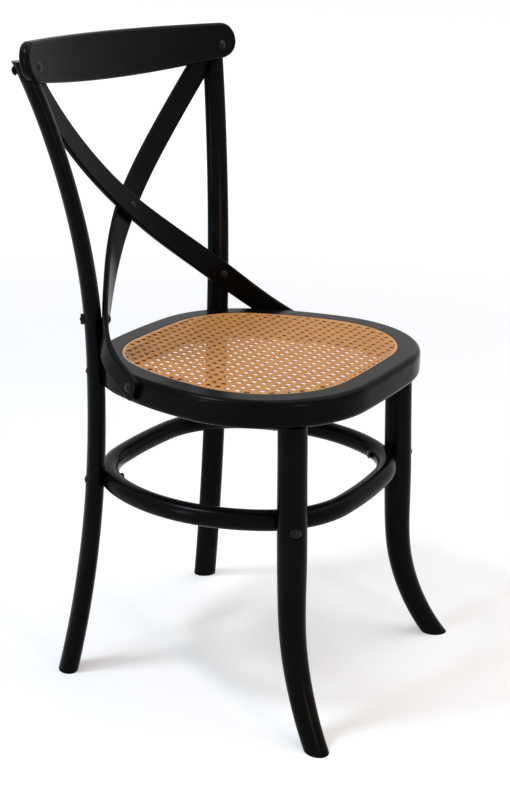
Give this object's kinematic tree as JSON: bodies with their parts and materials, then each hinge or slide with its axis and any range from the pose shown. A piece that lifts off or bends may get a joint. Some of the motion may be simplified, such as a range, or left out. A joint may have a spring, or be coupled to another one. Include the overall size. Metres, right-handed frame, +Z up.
{
  "type": "cross back chair",
  "caption": "Bentwood dining chair with a bowed back rail, crossing back laths, a round-cornered cane seat and a bent leg ring.",
  "frame": {"origin": "on the floor, under the middle of the chair's bounding box", "axes": "+Z up, -Y the way the sitter faces, +X the sitter's left"},
  "size_m": [0.5, 0.4652, 0.8706],
  "materials": {
    "lacquered_beech": "satin black lacquer over beech",
    "cane": "varnished woven cane",
    "reed": "varnished reed",
    "blackened_steel": "black finished steel"
  },
  "bodies": {
    "root": {"seat_frame": "lacquered_beech", "cane_panel": "cane", "cane_spline": "reed", "front_leg_left": "lacquered_beech", "front_leg_right": "lacquered_beech", "rear_leg_left": "lacquered_beech", "rear_leg_right": "lacquered_beech", "leg_ring": "lacquered_beech", "top_rail": "lacquered_beech", "cross_lath_front": "lacquered_beech", "cross_lath_rear": "lacquered_beech", "ring_bolts": "blackened_steel", "ring_nuts": "blackened_steel", "seat_bolts": "blackened_steel", "seat_nuts": "blackened_steel", "rail_bolts": "blackened_steel", "rail_dome_nuts": "blackened_steel", "lath_post_bolts": "blackened_steel", "lath_square_nuts": "blackened_steel", "lath_rim_screws": "blackened_steel", "lath_top_screws": "blackened_steel", "crossing_screw": "blackened_steel"}
  },
  "joints": []
}
